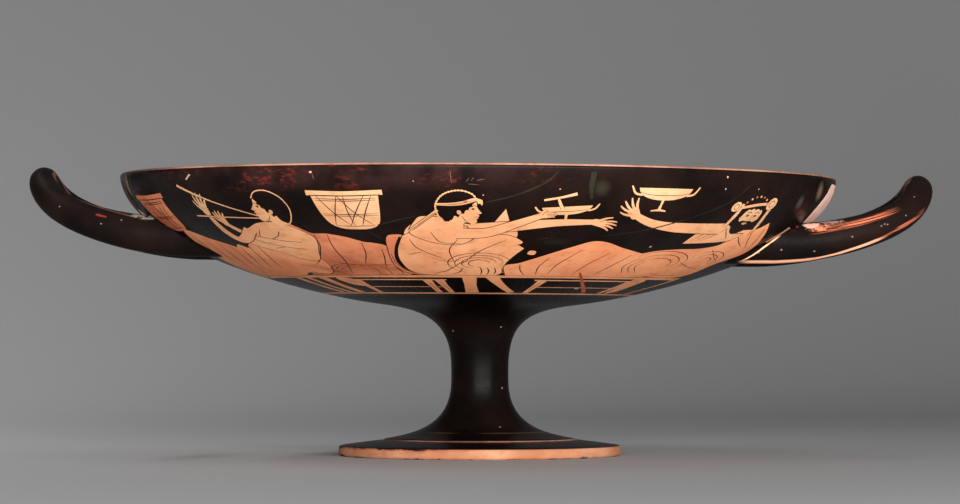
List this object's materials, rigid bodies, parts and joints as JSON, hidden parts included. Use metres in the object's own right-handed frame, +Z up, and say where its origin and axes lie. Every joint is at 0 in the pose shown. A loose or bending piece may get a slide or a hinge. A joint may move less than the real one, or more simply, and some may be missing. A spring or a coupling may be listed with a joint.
{
  "type": "two-handled drinking cup",
  "caption": "Wide shallow two-handled wine cup of fired clay on a tall stem and disc foot, with a painted band of banqueters; it holds drink in its bowl.",
  "frame": {"origin": "centre of the foot's flat resting ring, at the level it stands on", "axes": "+Z up the stem; +X through the right-hand loop handle, so the two handles lie along X; the main picture faces -Y"},
  "size_m": [0.4197, 0.332, 0.1341],
  "materials": {
    "black_gloss_clay": "glossy black slip fired onto orange clay, with figures, lip line, handle insides and foot edge reserved in the bare clay, thin black relief lines, worn and mended in places"
  },
  "bodies": {
    "root": {"kylix": "black_gloss_clay"}
  },
  "joints": []
}
